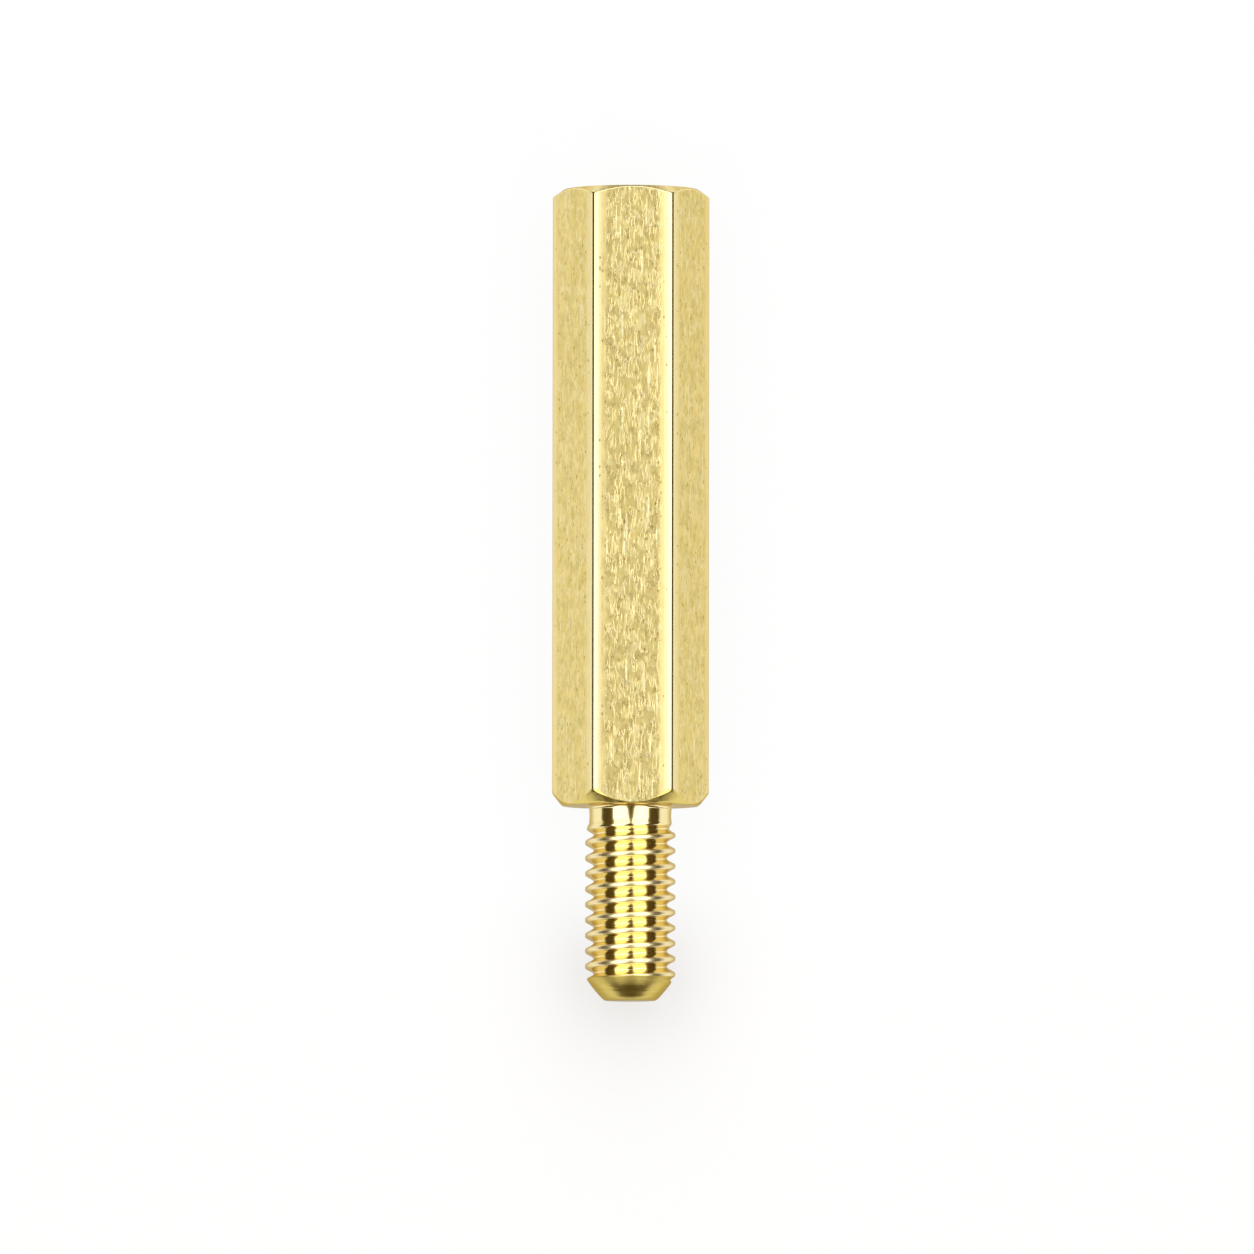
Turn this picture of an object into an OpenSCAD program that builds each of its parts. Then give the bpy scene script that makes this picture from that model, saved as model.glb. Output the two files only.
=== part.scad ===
// Male-female hex standoff, turned as one piece from drawn hexagonal brass bar.
// It lies on one of its flats with the axis along Y: the tapped end points to +Y and the stud to -Y.
// The origin is the centre of the shoulder face, which seats on the board that the stud goes through.

/* [Hex body] */
// Width of the bar across its flats
hex_af = 4.5; // [4:0.1:8]
// Radius of the bar's drawn corners
corner_r = 0.25; // [0.05:0.05:0.5]
// Length of the body from the shoulder to the tapped end
body_len = 20; // [12:0.5:60]
// Distance from the flats in to the edge of the end face at the tapped end
entry_inset = 0.07; // [0.02:0.01:0.3]
// Slope of the chamfer at the tapped end, measured from the end face
entry_chamfer_angle = 35; // [20:1:60]
// Distance from the flats in to the edge of the shoulder face
shoulder_inset = 0.03; // [0.02:0.01:0.3]
// Slope of the chamfer at the shoulder, measured from the shoulder face
shoulder_chamfer_angle = 50; // [20:1:60]

/* [Thread] */
// Nominal diameter of the thread, on the stud and in the hole
thread_d = 3; // [2:0.1:3.5]
// Pitch of the thread
thread_pitch = 0.5; // [0.35:0.05:0.8]
// How far the diameter over the stud's crests is under the nominal one
crest_allowance = 0.08; // [0:0.01:0.12]

/* [Stud] */
// Length of the stud from the shoulder to the tip
stud_len = 6.3; // [3:0.1:12]
// Length of the plain neck between the shoulder and the thread
neck_len = 0.54; // [0.2:0.02:1.5]
// Radius of the fillet where the neck meets the shoulder
neck_fillet = 0.15; // [0.02:0.01:0.18]
// Slope of the thread's start beside the neck, measured from the axis
thread_start_angle = 45; // [30:1:60]
// Length of the tapered tip
tip_len = 0.78; // [0.3:0.02:1.4]
// Slope of the tapered tip, measured from the axis
tip_angle = 38.5; // [15:0.5:55]

/* [Tapped hole] */
// Depth of the tapped hole at its full diameter
hole_depth = 10; // [3:0.5:18]
// Angle of the drill's point, which the hole ends in
drill_point_angle = 118; // [90:1:140]
// How far the countersunk mouth is over the thread's nominal diameter
mouth_over = 0.2; // [0.05:0.05:0.6]
// Angle of the countersink
mouth_angle = 90; // [60:1:120]

/* [Hidden] */
$fn = 96;
brass = [0.87, 0.77, 0.47];

// A round meets the faces beside it at this slight edge
round_edge_angle = 8;

// The bar's corners before and after rounding
corners = [0 : 60 : 300];
half_corner = 30;
bar_r = hex_af / 2 / cos(half_corner);
corner_centre = (hex_af / 2 - corner_r * cos(round_edge_angle)) / cos(half_corner);
flat_end_r = norm([hex_af / 2, corner_centre * sin(half_corner)]);

// Round end faces, and how far each chamfer climbs from the face to the bar's corner
entry_r = hex_af / 2 - entry_inset;
entry_rise = (bar_r - entry_r) * tan(entry_chamfer_angle);
shoulder_r = hex_af / 2 - shoulder_inset;
shoulder_rise = (bar_r - shoulder_r) * tan(shoulder_chamfer_angle);

// The neck has the thread's pitch diameter, that of the blank that the thread is rolled on
stud_r = (thread_d - crest_allowance) / 2;
neck_r = (thread_d - 3 * sqrt(3) / 8 * thread_pitch) / 2;
fillet_offset = neck_fillet * cos(round_edge_angle);
thread_start = neck_len + (stud_r - neck_r) / tan(thread_start_angle);
tip_r = stud_r - tip_len * tan(tip_angle);

// The hole has the diameter of its tap drill
hole_r = (thread_d - thread_pitch) / 2;
mouth_r = (thread_d + mouth_over) / 2;
mouth_slope = tan(mouth_angle / 2);
mouth_depth = (mouth_r - hole_r) / mouth_slope;
point_depth = hole_r / tan(drill_point_angle / 2);

// How far a cut or a joining piece runs past the face where it meets the body
overrun = 0.5;

// Section of the bar: a hexagon that is cut back to a small arc at each corner
module bar_section() {
    intersection() {
        circle(bar_r, $fn = 6);
        union() {
            circle(flat_end_r);
            for (corner = corners)
                rotate(corner)
                    translate([corner_centre, 0])
                        circle(corner_r);
        }
    }
}

// The round body that the chamfers are turned to, as wide as the bar's corners between them
module turned_ends() {
    rotate_extrude()
        polygon([
            [0, 0],
            [shoulder_r, 0],
            [bar_r, shoulder_rise],
            [bar_r, body_len - entry_rise],
            [entry_r, body_len],
            [0, body_len]
        ]);
}

// Length of bar with a chamfer at each end, which leaves a curved edge on each flat
module hex_body() {
    intersection() {
        translate([0, 0, -overrun])
            linear_extrude(body_len + 2 * overrun)
                bar_section();
        turned_ends();
    }
}

// Half section of the fillet between the neck and the shoulder
module fillet_section() {
    difference() {
        translate([0, -fillet_offset])
            square([neck_r + fillet_offset, fillet_offset + overrun]);
        translate([neck_r + fillet_offset, -fillet_offset])
            circle(neck_fillet);
    }
}

// Stud at the diameter of the thread's crests, with a plain neck and a tapered tip
module stud() {
    rotate_extrude() {
        polygon([
            [0, overrun],
            [neck_r, overrun],
            [neck_r, -neck_len],
            [stud_r, -thread_start],
            [stud_r, tip_len - stud_len],
            [tip_r, -stud_len],
            [0, -stud_len]
        ]);
        fillet_section();
    }
}

// Blind hole for the tap, with a countersunk mouth and the drill's pointed end
module tapped_hole() {
    rotate_extrude()
        polygon([
            [0, body_len + overrun],
            [mouth_r + overrun * mouth_slope, body_len + overrun],
            [hole_r, body_len - mouth_depth],
            [hole_r, body_len - hole_depth],
            [0, body_len - hole_depth - point_depth]
        ]);
}

module hex_standoff() {
    color(brass)
        rotate([-90, 0, 0])
            difference() {
                union() {
                    hex_body();
                    stud();
                }
                tapped_hole();
            }
}

hex_standoff();
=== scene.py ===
# Brass hex standoff lying on a white table, seen from almost straight above.
# The whole part is one closed mesh: a chain of rings from the stud's tip, over the hex body, into the hole.
# Lengths are in millimetres until the mesh, the floor and the camera are made, which are in metres.
# Heights are places along the part's axis, Y, measured from the shoulder.

import math

import bpy
import numpy as np
from mathutils import Matrix, Vector


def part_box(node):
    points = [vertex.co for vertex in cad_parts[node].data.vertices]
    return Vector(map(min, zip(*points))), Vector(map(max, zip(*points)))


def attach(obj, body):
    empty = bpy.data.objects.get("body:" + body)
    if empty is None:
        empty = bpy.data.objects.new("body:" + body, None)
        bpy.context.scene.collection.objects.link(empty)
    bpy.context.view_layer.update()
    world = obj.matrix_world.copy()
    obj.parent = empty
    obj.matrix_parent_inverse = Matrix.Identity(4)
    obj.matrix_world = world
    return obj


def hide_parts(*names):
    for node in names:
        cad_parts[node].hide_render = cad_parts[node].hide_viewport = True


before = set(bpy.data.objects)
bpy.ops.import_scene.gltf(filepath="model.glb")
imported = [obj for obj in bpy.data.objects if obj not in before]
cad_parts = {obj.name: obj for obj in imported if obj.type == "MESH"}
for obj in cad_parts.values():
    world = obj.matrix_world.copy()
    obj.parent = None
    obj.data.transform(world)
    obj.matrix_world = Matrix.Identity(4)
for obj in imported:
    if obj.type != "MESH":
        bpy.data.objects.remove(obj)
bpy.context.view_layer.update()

MM = 0.001
NODE = "hex_standoff"

# Sizes that the frame gives
cad_low, cad_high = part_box(NODE)
HALF_FLATS = cad_high.z / MM
BODY_LEN = cad_high.y / MM
STUD_LEN = -cad_low.y / MM

# Hex bar: from each flat to its corner the drawn surface bends ever more, in arcs given as the radius,
# the tilt from the flat that the arc ends at, in degrees, and the number of steps
SIDES = 6
HALF_CORNER = math.pi / SIDES
CORNER_ARCS = ((3.2, 6, 6), (0.9, 11, 4), (0.2, 30, 4))

# Turned ends: how far in from the flats each round face ends, its chamfer measured from the face,
# and the rounds on the edges of both
ENTRY_INSET = 0.07
ENTRY_R = HALF_FLATS - ENTRY_INSET
ENTRY_CHAMFER = math.radians(35)
ENTRY_EDGE_R = 0.055
FACE_EDGE_R = 0.03
SHOULDER_INSET = 0.03
SHOULDER_R = HALF_FLATS - SHOULDER_INSET
SHOULDER_CHAMFER = math.radians(52)
SHOULDER_EDGE_R = 0.035
SHOULDER_RIM_R = 0.07

# The shoulder's two rounds grow to this radius at the bar's corners, between these distances
# from the middle of a flat
SHOULDER_CORNER_R = 0.22
GROWTH_FROM = 0.7
GROWTH_TO = 1.15

# M3 thread: crest and root radius as they measure on the stud, root and flank as shares of the pitch,
# their blends as shares of the ridge, and the height of one crest at the left of the picture
PITCH = 0.5
NOMINAL_R = 1.5
CREST_R = 1.46
ROOT_R = 1.19
ROOT_SHARE = 0.16
FLANK_SHARE = 0.29
ROOT_BLEND = 0.24
CREST_BLEND = 0.2
CREST_AT = -3.19

# Plain neck at the thread's pitch diameter, slightly hollow, and the heights where the thread
# fades out beside it and at the tip
NECK_R = NOMINAL_R - 3 * math.sqrt(3) / 16 * PITCH
NECK_FILLET = 0.1
NECK_END = -0.52
NECK_BOW = 0.015
RUNOUT_FROM = -0.45
RUNOUT_TO = -0.95
TIP_RUNOUT_FROM = -5.86
TIP_RUNOUT_TO = -5.5

# Tapered tip, slightly full
TIP_TAPER = math.radians(38.5)
TIP_LEN = 0.78
TIP_EDGE_R = 0.14
TIP_BOW = 0.04
TIP_R = CREST_R - TIP_LEN * math.tan(TIP_TAPER)
TAPER_END = TIP_LEN - STUD_LEN

# Tapped hole
HOLE_R = NOMINAL_R - PITCH / 2
HOLE_DEPTH = 10
HOLE_END = BODY_LEN - HOLE_DEPTH
HOLE_THREAD_LEN = 8
HOLE_THREAD_END = BODY_LEN - HOLE_THREAD_LEN
MOUTH_OVER = 0.1
MOUTH_R = NOMINAL_R + MOUTH_OVER
DRILL_POINT = math.radians(118)
POINT_DEPTH = HOLE_R / math.tan(DRILL_POINT / 2)

# Soft edge where the thread meets the tip's taper and the hole's countersink
THREAD_EDGE_BLEND = 0.012

# Mesh density: steps along or round each stretch, and rows to a pitch
FLAT_STEPS = 4
ROUND_STEPS = 4
FILLET_STEPS = 8
TIP_FACE_STEPS = 4
FACE_STEPS = 3
SIDE_STEPS = 16
PLAIN_HOLE_STEPS = 2
POINT_STEPS = 3
STUD_ROWS_PER_PITCH = 18
HOLE_ROWS_PER_PITCH = 9

# Radius of the innermost ring on the tip's face and in the drill's point, as shares of the outermost
TIP_INNER = 0.3
POINT_INNER = 0.1

# Zones of the surface, which are also its material slots
FLAT, EDGE, TURNED, THREAD, TIP, BORE = range(6)


def half_side():
    """Points (across, out) of half a side of the bar, from the flat's middle to the corner."""
    bend = [(0.0, HALF_FLATS)]
    start = 0.0
    for radius, end, steps in CORNER_ARCS:
        across, out = bend[-1]
        end = math.radians(end)
        for i in range(1, steps + 1):
            turn = start + (end - start) * i / steps
            bend.append((
                across + radius * (math.sin(turn) - math.sin(start)),
                out - radius * (math.cos(start) - math.cos(turn)),
            ))
        start = end
    across, out = bend[-1]
    flat_end = out * math.tan(HALF_CORNER) - across
    flat = [(flat_end * i / FLAT_STEPS, HALF_FLATS) for i in range(FLAT_STEPS)]
    return flat + [(flat_end + across, out) for across, out in bend]


def bar_columns():
    """Each column's angle, radius, distance from its flat's middle, and whether a corner's round follows."""
    half = half_side()
    last = len(half) - 1
    round_from = FLAT_STEPS + CORNER_ARCS[0][2]
    angles, radii, distances, rounds = [], [], [], []
    for side in range(SIDES):
        middle = math.radians((side + 0.5) * 360 / SIDES)
        for i in range(-last, last):
            across, out = half[abs(i)]
            angles.append(middle + math.copysign(math.atan2(across, out), i))
            radii.append(math.hypot(across, out))
            distances.append(across)
            rounds.append(i < -round_from or i >= round_from)
    return np.array(angles), np.array(radii), np.array(distances), np.array(rounds)


ANGLE, BAR_R, ACROSS, IN_ROUND = bar_columns()
COLUMNS = len(ANGLE)


def soft_max(a, b, blend):
    share = np.clip(0.5 + (a - b) / (2 * blend), 0, 1)
    return b + (a - b) * share + blend * share * (1 - share)


def soft_min(a, b, blend):
    return -soft_max(-a, -b, blend)


def smooth_step(value, start, end):
    t = np.clip((value - start) / (end - start), 0, 1)
    return t * t * (3 - 2 * t)


def bow(value, start, end):
    """0 at start and at end, and 1 midway between them."""
    t = np.clip((value - start) / (end - start), 0, 1)
    return 4 * t * (1 - t)


def ridge(y):
    """How far the thread's ridge stands out round the part, from 0 at its root to 1 at its crest."""
    turns = (y - CREST_AT) / PITCH + (ANGLE - math.pi) / (2 * math.pi)
    off_crest = np.abs(turns - np.round(turns))
    flank = (0.5 - ROOT_SHARE / 2 - off_crest) / FLANK_SHARE
    return soft_min(soft_max(flank, 0, ROOT_BLEND), 1, CREST_BLEND)


def stud_radius(y):
    """Radius round the stud at one height: neck, thread and tapered tip."""
    depth = (CREST_R - ROOT_R) * smooth_step(y, TIP_RUNOUT_FROM, TIP_RUNOUT_TO)
    thread = CREST_R - depth * (1 - ridge(y))
    neck = NECK_R - NECK_BOW * bow(y, -NECK_FILLET, NECK_END)
    radius = neck + (thread - neck) * smooth_step(y, RUNOUT_FROM, RUNOUT_TO)
    taper = TIP_R + (y + STUD_LEN) * math.tan(TIP_TAPER) + TIP_BOW * bow(y, -STUD_LEN, TAPER_END)
    return soft_min(radius, taper, THREAD_EDGE_BLEND)


def hole_radius(y):
    """Radius round the tapped hole at one height: countersunk mouth, thread and plain end."""
    cut = smooth_step(y, HOLE_THREAD_END - PITCH, HOLE_THREAD_END)
    thread = HOLE_R + (NOMINAL_R - HOLE_R) * (1 - ridge(y)) * cut
    countersink = MOUTH_R - (BODY_LEN - y)
    return soft_max(thread, countersink, THREAD_EDGE_BLEND)


class Skin:
    """Rings of (radius, height), one value a column, with the zone of the band that ends at each."""

    def __init__(self):
        self.rings, self.zones = [], []

    def ring(self, radius, y, zone):
        self.rings.append((np.broadcast_to(radius, COLUMNS), np.broadcast_to(y, COLUMNS)))
        self.zones.append(zone)

    def line(self, end, steps, zone):
        r0, y0 = self.rings[-1]
        for i in range(1, steps + 1):
            t = i / steps
            self.ring(r0 + (end[0] - r0) * t, y0 + (end[1] - y0) * t, zone)

    def arc(self, corner, onward, size, zone_in, zone_arc, lines=1, steps=ROUND_STEPS):
        """A line to near the corner, then an arc of that radius which leaves towards onward."""
        here = np.array(self.rings[-1])
        corner = np.array([np.broadcast_to(c, COLUMNS) for c in corner], float)
        onward = np.array([np.broadcast_to(c, COLUMNS) for c in onward], float)
        back, ahead = here - corner, onward - corner
        back = back / np.linalg.norm(back, axis=0)
        ahead = ahead / np.linalg.norm(ahead, axis=0)
        half_turn = (math.pi - np.arccos(np.clip((back * ahead).sum(axis=0), -1, 1))) / 2
        reach = size * np.tan(half_turn)
        start, end, weight = corner + back * reach, corner + ahead * reach, np.cos(half_turn)
        self.line(start, lines, zone_in)
        for i in range(1, steps + 1):
            t = i / steps
            a, b, c = (1 - t) ** 2, 2 * weight * t * (1 - t), t * t
            point = (a * start + b * corner + c * end) / (a + b + c)
            self.ring(point[0], point[1], zone_arc)

    def rows_to(self, end, per_pitch):
        """Heights of even rows from the last ring, which is level, to end."""
        start = float(self.rings[-1][1][0])
        count = round(abs(end - start) / PITCH * per_pitch)
        return [start + (end - start) * row / count for row in range(1, count + 1)]


def build_skin():
    skin = Skin()
    chamfer_low = (BAR_R - SHOULDER_R) * math.tan(SHOULDER_CHAMFER)
    chamfer_top = BODY_LEN - (BAR_R - ENTRY_R) * math.tan(ENTRY_CHAMFER)

    # Tip face and its edge, then taper, thread and neck
    skin.ring(TIP_R * TIP_INNER, -STUD_LEN, TIP)
    skin.arc((TIP_R, -STUD_LEN), (CREST_R, TAPER_END), TIP_EDGE_R, TIP, TIP, lines=TIP_FACE_STEPS)
    for y in skin.rows_to(-NECK_FILLET, STUD_ROWS_PER_PITCH):
        skin.ring(stud_radius(y), y, TIP if y < TAPER_END else THREAD)

    # Fillet, shoulder face and chamfer
    growth = smooth_step(ACROSS, GROWTH_FROM, GROWTH_TO)
    rim_r = SHOULDER_RIM_R + (SHOULDER_CORNER_R - SHOULDER_RIM_R) * growth
    edge_r = SHOULDER_EDGE_R + (SHOULDER_CORNER_R - SHOULDER_EDGE_R) * growth
    skin.arc((NECK_R, 0), (SHOULDER_R, 0), NECK_FILLET, THREAD, THREAD, steps=FILLET_STEPS)
    skin.arc((SHOULDER_R, 0), (BAR_R, chamfer_low), rim_r, TURNED, TURNED, lines=FACE_STEPS)
    skin.arc((BAR_R, chamfer_low), (BAR_R, chamfer_top), edge_r, TURNED, TURNED)

    # Hex sides, chamfer, end face and countersunk mouth
    mouth_end = (HOLE_R, BODY_LEN - (MOUTH_R - HOLE_R))
    skin.arc((BAR_R, chamfer_top), (ENTRY_R, BODY_LEN), ENTRY_EDGE_R, FLAT, EDGE, lines=SIDE_STEPS)
    skin.arc((ENTRY_R, BODY_LEN), (MOUTH_R, BODY_LEN), FACE_EDGE_R, FLAT, TURNED, lines=FACE_STEPS)
    skin.arc((MOUTH_R, BODY_LEN), mouth_end, FACE_EDGE_R, TURNED, TURNED, lines=FACE_STEPS)

    # Tapped hole, its plain end and the drill's point
    for y in skin.rows_to(HOLE_THREAD_END - PITCH, HOLE_ROWS_PER_PITCH):
        skin.ring(hole_radius(y), y, BORE)
    skin.line((HOLE_R, HOLE_END), PLAIN_HOLE_STEPS, BORE)
    skin.line((HOLE_R * POINT_INNER, HOLE_END - POINT_DEPTH * (1 - POINT_INNER)), POINT_STEPS, BORE)
    return skin


def build_mesh(skin):
    radius = np.array([r for r, y in skin.rings])
    height = np.array([y for r, y in skin.rings])
    grid = np.stack([radius * np.cos(ANGLE), height, radius * np.sin(ANGLE)], axis=-1)
    rows = len(grid)
    poles = np.array([[0, -STUD_LEN, 0], [0, HOLE_END - POINT_DEPTH, 0]], float)

    # Normals from the neighbours on the grid, where a long face outweighs the short ones beside it
    before = np.concatenate([np.broadcast_to(poles[0], (1, COLUMNS, 3)), grid[:-1]])
    after = np.concatenate([grid[1:], np.broadcast_to(poles[1], (1, COLUMNS, 3))])
    along = after - before
    around = np.roll(grid, -1, axis=1) - np.roll(grid, 1, axis=1)
    normal = np.cross(along, around)
    normal /= np.linalg.norm(normal, axis=-1, keepdims=True)
    normals = np.concatenate([normal.reshape(-1, 3), [[0, -1, 0], [0, 1, 0]]])

    # A fan round the tip's pole, bands of four-sided faces, and a fan round the drill point's pole
    points = np.concatenate([grid.reshape(-1, 3), poles]) * MM
    tip_pole, point_pole = rows * COLUMNS, rows * COLUMNS + 1
    columns = [(j, (j + 1) % COLUMNS) for j in range(COLUMNS)]
    faces = [(tip_pole, j, k) for j, k in columns]
    zones = [TIP] * COLUMNS
    for row, zone in enumerate(skin.zones[1:], 1):
        start, end = (row - 1) * COLUMNS, row * COLUMNS
        for j, k in columns:
            faces.append((start + j, end + j, end + k, start + k))
            zones.append(EDGE if zone == FLAT and IN_ROUND[j] else zone)
    faces += [(end + j, point_pole, end + k) for j, k in columns]
    zones += [BORE] * COLUMNS

    mesh = bpy.data.meshes.new(NODE + "_skin")
    mesh.from_pydata(points.tolist(), [], faces)
    mesh.polygons.foreach_set("material_index", zones)
    mesh.polygons.foreach_set("use_smooth", [True] * len(faces))
    crest = np.clip((radius - ROOT_R) / (CREST_R - ROOT_R), 0, 1)
    for name, values in (("across", np.tile(ACROSS, rows)), ("crest", crest.reshape(-1))):
        attribute = mesh.attributes.new(name, "FLOAT", "POINT")
        attribute.data.foreach_set("value", np.concatenate([values, [0, 0]]))
    mesh.update()
    mesh.normals_split_custom_set_from_vertices(normals.tolist())
    return mesh


# Values between which a noise mostly lies, and the one in their middle
NOISE_LOW = 0.3
NOISE_HIGH = 0.7
NOISE_MIDDLE = 0.5

# Sockets of a Mix node that mixes colours
MIX_A, MIX_B, MIX_RESULT = 6, 7, 2


class Nodes:
    """Short calls for building the nodes of one material, or of the world."""

    def __init__(self, tree):
        self.tree = tree
        tree.nodes.clear()

    def add(self, kind, inputs=None, **settings):
        node = self.tree.nodes.new(kind)
        for name, value in settings.items():
            setattr(node, name, value)
        for name, value in (inputs or {}).items():
            socket = node.inputs[name]
            if isinstance(value, bpy.types.NodeSocket):
                self.tree.links.new(value, socket)
            else:
                socket.default_value = value
        return node

    def math(self, operation, *values):
        return self.add("ShaderNodeMath", dict(enumerate(values)), operation=operation).outputs[0]

    def times(self, a, b):
        return self.math("MULTIPLY", a, b)

    def vector(self, operation, *values):
        return self.add("ShaderNodeVectorMath", dict(enumerate(values)), operation=operation).outputs[0]

    def axes(self, vector):
        return self.add("ShaderNodeSeparateXYZ", {0: vector}).outputs

    def attribute(self, name):
        return self.add("ShaderNodeAttribute", attribute_name=name).outputs["Fac"]

    def millimetres(self):
        """Object coordinates in millimetres."""
        coords = self.add("ShaderNodeTexCoord").outputs["Object"]
        return self.vector("MULTIPLY", coords, (1 / MM,) * 3)

    def noise(self, at, waves, detail):
        """A noise with so many waves to a millimetre across the part's axis and along it."""
        across, along = waves
        scaled = self.vector("MULTIPLY", at, (across, along, across))
        return self.add("ShaderNodeTexNoise", {"Vector": scaled, "Scale": 1.0, "Detail": detail}).outputs[0]

    def ramp(self, value, start, end, low=0.0, high=1.0):
        inputs = {"Value": value, "From Min": start, "From Max": end, "To Min": low, "To Max": high}
        return self.add("ShaderNodeMapRange", inputs, interpolation_type="SMOOTHSTEP").outputs[0]

    def spread(self, noise, low=0.0, high=1.0):
        """From low to high, as a noise goes over its usual values."""
        return self.ramp(noise, NOISE_LOW, NOISE_HIGH, low, high)

    def mix(self, share, a, b):
        inputs = {"Factor": share, MIX_A: a, MIX_B: b}
        return self.add("ShaderNodeMix", inputs, data_type="RGBA").outputs[MIX_RESULT]

    def seen(self):
        """1 to the camera, also through glass, and 0 to the rays that light the part."""
        path = self.add("ShaderNodeLightPath").outputs
        return self.math("MAXIMUM", path["Is Camera Ray"], path["Is Transmission Ray"])


def rgb(red, green, blue):
    """A colour as a node's socket takes it."""
    return red, green, blue, 1


PURE_WHITE = rgb(1, 1, 1)

# Colour that brass keeps where it is seen at a grazing angle
GRAZING_TINT = rgb(0.85, 0.69, 0.43)

# In the finishes below, waves are those of a noise, to a millimetre across the part's axis and along it;
# two colours or roughnesses are those that a noise goes between; and relief is the depth of the bumps

# Drawn flats, where the lines that drawing leaves are half as high as the mottling
PATCH_WAVES = (1.6, 0.9)
MOTTLE_WAVES = (4.2, 2.4)
DRAWN_WAVES = (15, 1.8)
DRAWN_HEIGHT = 0.5
FLAT_COLOURS = (rgb(0.79, 0.634, 0.243), rgb(0.86, 0.70, 0.302))
FLAT_ROUGHNESS = (0.26, 0.32)
FLAT_RELIEF = 0.005

# Over the flats' colours: tarnish, a paler tone towards the corners that is partly wear and partly painted
# sheen for the bright band where the flat bends, and the darker lines that drawing leaves.
# Each grows from nothing to its share between two values of what it follows.
OLIVE = rgb(0.55, 0.47, 0.14)
OLIVE_FROM, OLIVE_TO, OLIVE_SHARE = 0.84, 1.24, 0.4
WEAR_AND_SHEEN = rgb(0.88, 0.76, 0.42)
WEAR_AND_SHEEN_FROM, WEAR_AND_SHEEN_TO, WEAR_AND_SHEEN_SHARE = 0.86, 1.06, 0.65
DRAWN = rgb(0.62, 0.49, 0.17)
DRAWN_FROM, DRAWN_TO, DRAWN_SHARE = 0.5, 0.75, 0.15

# Marks fade to a share of their strength between these distances from a flat's middle
MARKS_FROM = 0.8
MARKS_TO = 0.97
MARKS_SHARE = 0.05

# Each mark's height as a share of the relief, the share of its colour, and its colour
DARK_MARK = (-0.16, 0.5, rgb(0.48, 0.40, 0.12))
BRIGHT_MARK = (0.34, 0.6, rgb(0.91, 0.81, 0.47))
SCRATCH_MARK = (0.4, 0.7, rgb(0.94, 0.86, 0.56))
SPECK = rgb(0.40, 0.29, 0.09)
SPECK_SHARE = 0.85

# Curved marks: sets of lines along a noise's middle value, each given as a shift of the noise, its waves
# and how far from that value a line reaches. A second noise drags them about and a third breaks them up.
DARK_CURLS = (((2.3, 9.1, 4.7), (7.5, 1.6), 0.08), ((5.9, 1.3, 8.2), (9.5, 1.8), 0.07))
BRIGHT_CURLS = (((0, 0, 0), (8.0, 1.2), 0.06), ((7.1, 3.7, 5.3), (7.0, 1.6), 0.05))
DRAG_WAVES = 3.0
DRAG = 0.1
BREAK_WAVES = (3.0, 2.6)
BREAK_FROM = 0.40
BREAK_TO = 0.54

# Straight marks: width and length, share of the places for one that have one, and the distances
# from its middle, as shares of its size, between which it fades
SCRATCH_SIZE = (0.07, 1.3)
SCRATCHES = 0.13
SPECK_SIZE = (0.09, 0.16)
SPECKS = 0.08
STROKE_FULL = 0.2
STROKE_END = 0.45

# Corners, turned ends and hole
EDGE_WAVES = (6, 0.8)
EDGE_COLOURS = (rgb(0.84, 0.71, 0.34), rgb(0.88, 0.77, 0.42))
EDGE_ROUGHNESS = (0.13, 0.2)
TURNED_WAVES = (5, 5)
TURNED_COLOURS = (rgb(0.72, 0.57, 0.16), rgb(0.77, 0.62, 0.20))
TURNED_ROUGHNESS = (0.2, 0.3)
HOLE_WAVES = (4, 14)
HOLE_COLOURS = (rgb(0.66, 0.50, 0.17), rgb(0.80, 0.64, 0.25))
HOLE_ROUGHNESS = (0.2, 0.3)

# Thread: its roughness in the roots and on the crests, which are worn above a share of the ridge's height
THREAD_WAVES = (3, 12)
ROOT_COLOURS = (rgb(0.88, 0.75, 0.37), rgb(0.92, 0.80, 0.44))
CREST_COLOUR = rgb(0.90, 0.77, 0.44)
CREST_FROM = 0.6
THREAD_ROUGHNESS = (0.14, 0.28)

# Tip: turned lines, and a roughness that rises over this stretch towards the thread
TIP_WAVES = (0.4, 17)
TIP_COLOURS = (rgb(0.58, 0.445, 0.11), rgb(0.72, 0.565, 0.17))
TIP_ROUGHNESS = (0.22, 0.4)
TIP_ROUGH_FROM = TAPER_END - 0.4
TIP_ROUGH_TO = TAPER_END - 0.1
TIP_RELIEF = 0.005


def metal(name, build):
    """A brass material, whose colour, roughness and normal come from build(nodes)."""
    material = bpy.data.materials.new(name)
    material.use_nodes = True
    nodes = Nodes(material.node_tree)
    inputs = {"Metallic": 1.0, "Specular Tint": GRAZING_TINT, **build(nodes)}
    shader = nodes.add("ShaderNodeBsdfPrincipled", inputs)
    nodes.add("ShaderNodeOutputMaterial", {"Surface": shader.outputs[0]})
    return material


def bump(nodes, height, relief):
    """Normal from a height of 0 to 1 that stands for so many millimetres."""
    inputs = {"Height": height, "Distance": relief * MM, "Strength": 1.0}
    return nodes.add("ShaderNodeBump", inputs).outputs[0]


def strokes(nodes, at, size, share):
    """Straight marks along the bar, at that share of the places for one."""
    width, length = size
    scaled = nodes.vector("MULTIPLY", at, (1 / width, 1 / length, 1 / width))
    cells = nodes.add("ShaderNodeTexVoronoi", {"Vector": scaled, "Scale": 1.0}).outputs
    chance = nodes.axes(cells["Color"])["X"]
    picked = nodes.math("LESS_THAN", chance, share)
    return nodes.times(nodes.ramp(cells["Distance"], STROKE_END, STROKE_FULL), picked)


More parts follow.
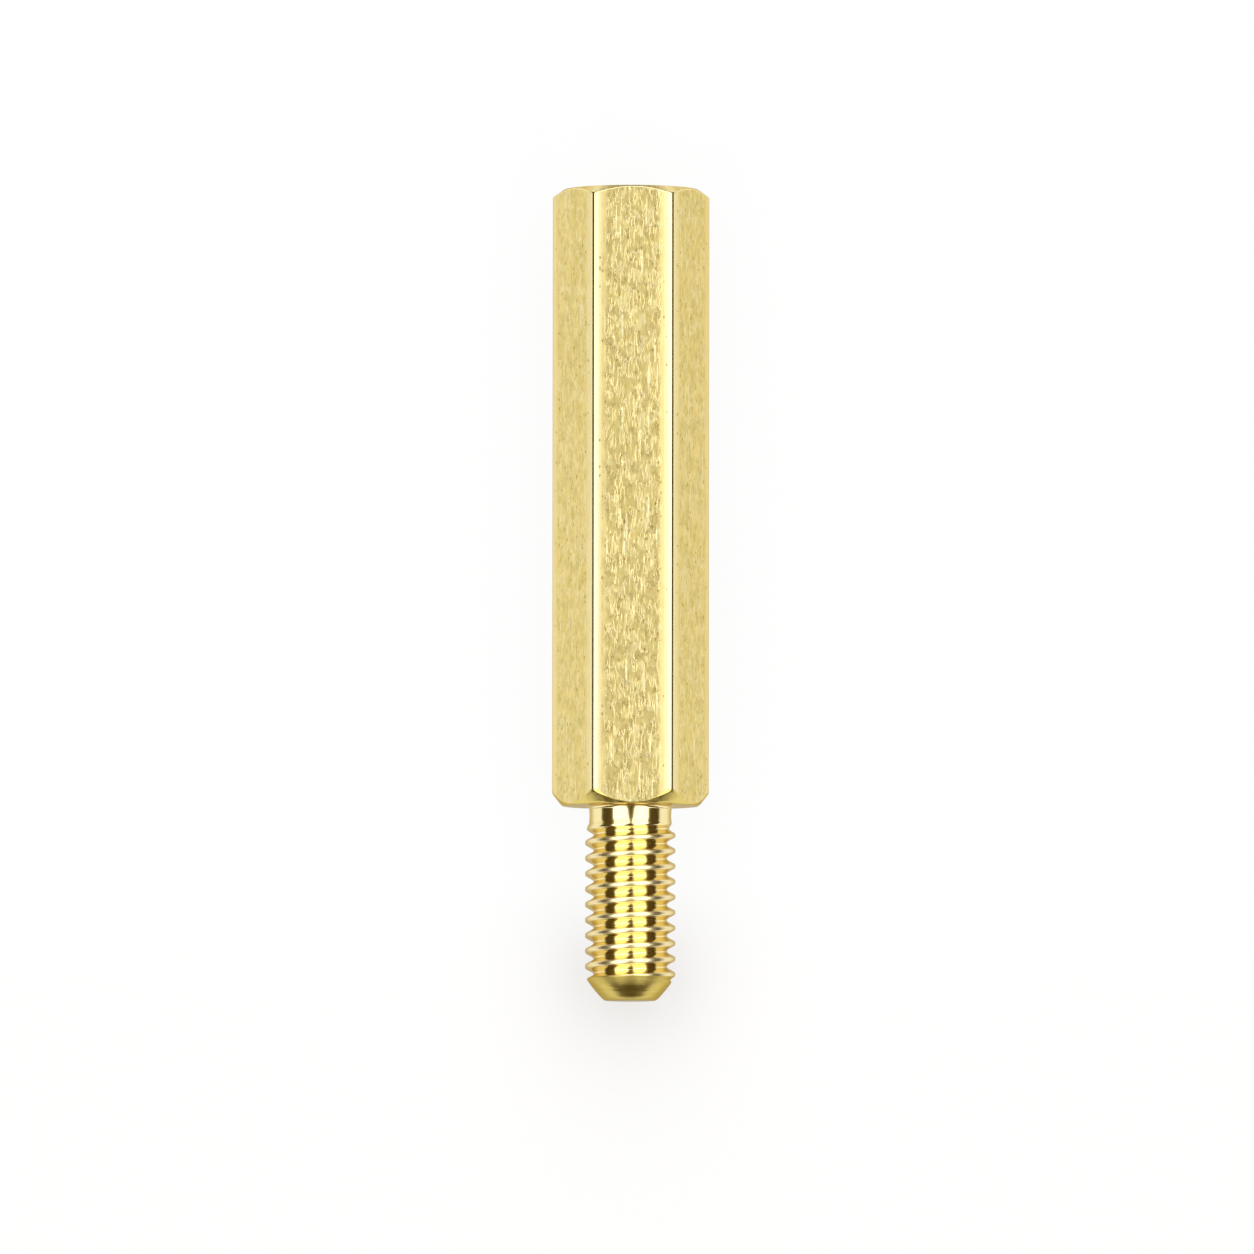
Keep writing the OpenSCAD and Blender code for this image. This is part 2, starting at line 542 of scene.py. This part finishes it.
def curls(nodes, at, sets):
    """Short curved marks along the bar."""
    marks = []
    for shift, waves, reach in sets:
        moved = nodes.vector("ADD", at, shift)
        off_line = nodes.math("SUBTRACT", nodes.noise(moved, waves, detail=1), NOISE_MIDDLE)
        line = nodes.ramp(nodes.math("ABSOLUTE", off_line), reach, 0.0)
        pieces = nodes.ramp(nodes.noise(moved, BREAK_WAVES, detail=1), BREAK_FROM, BREAK_TO)
        marks.append(nodes.times(line, pieces))
    return nodes.math("MAXIMUM", *marks)


def drawn_flats(nodes):
    """Drawn brass: soft mottling, short curved marks, scratches along the bar and dark specks."""
    at = nodes.millimetres()
    across = nodes.attribute("across")
    patches = nodes.noise(at, PATCH_WAVES, detail=1)
    mottle = nodes.noise(at, MOTTLE_WAVES, detail=2)
    drawn = nodes.noise(at, DRAWN_WAVES, detail=2)
    middle = nodes.ramp(across, MARKS_FROM, MARKS_TO, 1.0, MARKS_SHARE)
    height = nodes.times(nodes.math("ADD", mottle, nodes.times(drawn, DRAWN_HEIGHT)), middle)

    # Colours of the bare surface
    olive = nodes.ramp(nodes.math("ADD", mottle, patches), OLIVE_FROM, OLIVE_TO, 0.0, OLIVE_SHARE)
    colour = nodes.mix(nodes.spread(patches), *FLAT_COLOURS)
    for share, tone in (
        (nodes.times(olive, middle), OLIVE),
        # Paler towards the corners: partly wear, partly painted sheen
        (nodes.ramp(across, WEAR_AND_SHEEN_FROM, WEAR_AND_SHEEN_TO, 0.0, WEAR_AND_SHEEN_SHARE), WEAR_AND_SHEEN),
        (nodes.ramp(drawn, DRAWN_FROM, DRAWN_TO, 0.0, DRAWN_SHARE), DRAWN),
    ):
        colour = nodes.mix(share, colour, tone)

    # Marks that stand out or lie deeper, and specks, which are flat stains
    drift = nodes.add("ShaderNodeTexNoise", {"Vector": at, "Scale": DRAG_WAVES, "Detail": 1.0})
    dragged = nodes.vector("MULTIPLY_ADD", drift.outputs["Color"], (DRAG,) * 3, at)
    for mark, (rise, share, tone) in (
        (curls(nodes, dragged, DARK_CURLS), DARK_MARK),
        (curls(nodes, dragged, BRIGHT_CURLS), BRIGHT_MARK),
        (strokes(nodes, at, SCRATCH_SIZE, SCRATCHES), SCRATCH_MARK),
    ):
        mark = nodes.times(mark, middle)
        height = nodes.math("ADD", height, nodes.times(mark, rise))
        colour = nodes.mix(nodes.times(mark, share), colour, tone)
    specks = strokes(nodes, at, SPECK_SIZE, SPECKS)
    return {
        "Base Color": nodes.mix(nodes.times(specks, SPECK_SHARE), colour, SPECK),
        "Roughness": nodes.spread(mottle, *FLAT_ROUGHNESS),
        "Normal": bump(nodes, height, FLAT_RELIEF),
    }


def grained(nodes, waves, colours, roughness, detail):
    """Brass whose colour and roughness both follow one grain."""
    grain = nodes.noise(nodes.millimetres(), waves, detail)
    return {"Base Color": nodes.mix(grain, *colours), "Roughness": nodes.spread(grain, *roughness)}


def worn_edges(nodes):
    """Corners rubbed bright, with wear that runs along the bar."""
    return grained(nodes, EDGE_WAVES, EDGE_COLOURS, EDGE_ROUGHNESS, detail=3)


def turned_ends(nodes):
    """Shoulder, its chamfer, end face and mouth, of an even fine grain."""
    return grained(nodes, TURNED_WAVES, TURNED_COLOURS, TURNED_ROUGHNESS, detail=3)


def tapped_bore(nodes):
    """The hole, with a grain that runs round it."""
    return grained(nodes, HOLE_WAVES, HOLE_COLOURS, HOLE_ROUGHNESS, detail=2)


def rolled_thread(nodes):
    """Rolled thread: bright roots, and crests that are slightly worn."""
    grain = nodes.noise(nodes.millimetres(), THREAD_WAVES, detail=3)
    worn = nodes.ramp(nodes.attribute("crest"), CREST_FROM, 1.0)
    return {
        "Base Color": nodes.mix(worn, nodes.mix(grain, *ROOT_COLOURS), CREST_COLOUR),
        "Roughness": nodes.ramp(worn, 0.0, 1.0, *THREAD_ROUGHNESS),
    }


def turned_tip(nodes):
    """Tip with the fine lines that turning leaves round it."""
    at = nodes.millimetres()
    lines = nodes.noise(at, TIP_WAVES, detail=2)
    return {
        "Base Color": nodes.mix(lines, *TIP_COLOURS),
        "Roughness": nodes.ramp(nodes.axes(at)["Y"], TIP_ROUGH_FROM, TIP_ROUGH_TO, *TIP_ROUGHNESS),
        "Normal": bump(nodes, lines, TIP_RELIEF),
    }


def make_standoff():
    mesh = build_mesh(build_skin())
    for name, build in (
        ("brass_flats", drawn_flats),
        ("brass_edges", worn_edges),
        ("brass_turned", turned_ends),
        ("brass_thread", rolled_thread),
        ("brass_tip", turned_tip),
        ("brass_bore", tapped_bore),
    ):
        mesh.materials.append(metal(name, build))
    piece = bpy.data.objects.new("standoff", mesh)
    bpy.context.collection.objects.link(piece)
    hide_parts(NODE)
    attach(piece, "root")


# White table, its side in metres. Where no shadow falls the camera sees it at WHITE. A share of that is
# the light that the table takes from the room, OPEN_LIGHT in the open, and so has the part's shadow in it;
# the rest is its own glow. The share grows between two heights, past the shoulder and past the tip.
FLOOR_SIZE = 2.0
WHITE = 1.0
OPEN_LIGHT = 1.29
SHADE_BY_BODY = 0.05
SHADE_BY_TIP = 0.4
SHADE_FROM = -2
SHADE_TO = -7

# To the metal the table is a white card that ends at two heights. Close beside the part, up to just past its
# tapped end,
# the card is less bright: a painted shadow that stands in the metal's reflections for the part's contact
# shadow, which the glow hides
CARD_WHITE = 1.08
CARD_FROM = -45
CARD_TO = 26
CARD_BLUR = 6
CARD_BEYOND = 0.1
CARD_PAINTED_SHADE = 0.7
PAINTED_SHADE_FROM = 3.0
PAINTED_SHADE_TO = 5.4
PAINTED_SHADE_END = BODY_LEN + 3


def make_floor():
    half = FLOOR_SIZE / 2
    corners = [(x * half, y * half, cad_low.z) for x, y in ((-1, -1), (1, -1), (1, 1), (-1, 1))]
    mesh = bpy.data.meshes.new("floor")
    mesh.from_pydata(corners, [], [range(len(corners))])
    material = bpy.data.materials.new("white_table")
    material.use_nodes = True
    nodes = Nodes(material.node_tree)
    axes = nodes.axes(nodes.millimetres())
    along = axes["Y"]
    card = nodes.add("ShaderNodeLightPath").outputs["Is Glossy Ray"]
    for start, end in ((CARD_FROM - CARD_BLUR, CARD_FROM), (CARD_TO + CARD_BLUR, CARD_TO)):
        card = nodes.times(card, nodes.ramp(along, start, end, CARD_BEYOND, 1.0))
    # Painted shadow: the card is dimmed close beside the part, up to just past its tapped end
    near = nodes.ramp(along, BODY_LEN, PAINTED_SHADE_END, CARD_PAINTED_SHADE, 1.0)
    beside = nodes.math("ABSOLUTE", axes["X"])
    card = nodes.times(card, nodes.ramp(beside, PAINTED_SHADE_FROM, PAINTED_SHADE_TO, near, 1.0))
    level = nodes.math("MAXIMUM", nodes.times(nodes.seen(), WHITE), nodes.times(card, CARD_WHITE))
    shade = nodes.ramp(along, SHADE_FROM, SHADE_TO, SHADE_BY_BODY, SHADE_BY_TIP)
    glow = nodes.math("SUBTRACT", level, nodes.times(shade, OPEN_LIGHT))
    glow = nodes.math("MAXIMUM", glow, 0.0)
    plain = nodes.add("ShaderNodeBsdfDiffuse", {"Color": shade})
    white = nodes.add("ShaderNodeEmission", {"Color": PURE_WHITE, "Strength": glow})
    both = nodes.add("ShaderNodeAddShader", {0: plain.outputs[0], 1: white.outputs[0]})
    nodes.add("ShaderNodeOutputMaterial", {"Surface": both.outputs[0]})
    mesh.materials.append(material)
    floor = bpy.data.objects.new("floor", mesh)
    bpy.context.collection.objects.link(floor)


# Soft boxes above the part to its left and right, as angles round the part from straight up, and as angles
# towards the tapped end (positive) and the stud. Between them a dim gap widens towards the stud.
BOX_GAP = math.radians(8.1)
GAP_SLOPE = 0.16
GAP_BLUR = math.radians(3)
BOX_OUTER = math.radians(51)
BOX_FROM = math.radians(-61.5)
BOX_TO = math.radians(80)
BOX_BLUR = math.radians(2)
BOX_RADIANCE = 2.05
BOX = rgb(BOX_RADIANCE, BOX_RADIANCE, BOX_RADIANCE)
ROOM = rgb(0.085, 0.054, 0.012)


def make_world():
    """White to the camera, and to the metal a dim room with two soft boxes."""
    world = bpy.data.worlds.new("studio")
    bpy.context.scene.world = world
    world.use_nodes = True
    nodes = Nodes(world.node_tree)
    axes = nodes.axes(nodes.add("ShaderNodeTexCoord").outputs["Generated"])
    side = nodes.math("ABSOLUTE", nodes.math("ARCTAN2", axes["X"], axes["Z"]))
    rise = nodes.math("ARCSINE", axes["Y"])
    gap = nodes.math("SUBTRACT", BOX_GAP, nodes.times(rise, GAP_SLOPE))
    past_gap = nodes.math("SUBTRACT", side, nodes.math("MAXIMUM", gap, 0.0))
    box = nodes.ramp(past_gap, -GAP_BLUR, GAP_BLUR)
    for value, start, end in (
        (side, BOX_OUTER + BOX_BLUR, BOX_OUTER - BOX_BLUR),
        (rise, BOX_FROM - BOX_BLUR, BOX_FROM + BOX_BLUR),
        (rise, BOX_TO + BOX_BLUR, BOX_TO - BOX_BLUR),
    ):
        box = nodes.times(box, nodes.ramp(value, start, end))
    studio = nodes.add("ShaderNodeBackground", {"Color": nodes.mix(box, ROOM, BOX), "Strength": 1.0})
    white = nodes.add("ShaderNodeBackground", {"Color": PURE_WHITE, "Strength": 1.0})
    both = nodes.add("ShaderNodeMixShader", {0: nodes.seen(), 1: studio.outputs[0], 2: white.outputs[0]})
    nodes.add("ShaderNodeOutputWorld", {"Surface": both.outputs[0]})


# Camera of the photo, in pixels of its image in the plane of the part's axis: the rows of the body's length
# and of the shoulder, the axis's column, and the row that the eye stands over. The eye's distance is in
# millimetres, the clip range in metres.
IMAGE_WIDTH = 1254
BODY_ROWS = 617.5
SHOULDER_ROW = 806.4
AXIS_COLUMN = 630.6
EYE_ROW = 1575
PIXEL = BODY_LEN / BODY_ROWS
EYE_DISTANCE = 547
YAW = math.radians(1.8)
ROLL = math.radians(0.075)
SENSOR_WIDTH = 36
CLIP_START = 0.05
CLIP_END = 10


def make_camera():
    data = bpy.data.cameras.new("camera")
    camera = bpy.data.objects.new("camera", data)
    bpy.context.collection.objects.link(camera)
    middle = IMAGE_WIDTH / 2
    target = Vector((0, (SHOULDER_ROW - middle) * PIXEL, 0)) * MM
    eye = Vector((
        -EYE_DISTANCE * math.sin(YAW),
        (SHOULDER_ROW - EYE_ROW) * PIXEL,
        EYE_DISTANCE * math.cos(YAW),
    )) * MM
    back = (eye - target).normalized()
    right = Vector((0, 1, 0)).cross(back).normalized()
    turn = Matrix((right, back.cross(right), back)).transposed() @ Matrix.Rotation(ROLL, 3, "Z")
    camera.matrix_world = Matrix.Translation(eye) @ turn.to_4x4()
    data.sensor_width = SENSOR_WIDTH
    data.lens = SENSOR_WIDTH * (target - eye).length / (IMAGE_WIDTH * PIXEL * MM)
    data.shift_x = (middle - AXIS_COLUMN) / IMAGE_WIDTH
    data.clip_start = CLIP_START
    data.clip_end = CLIP_END
    bpy.context.scene.camera = camera


make_standoff()
make_floor()
make_world()
make_camera()
bpy.context.scene.view_settings.view_transform = "Standard"
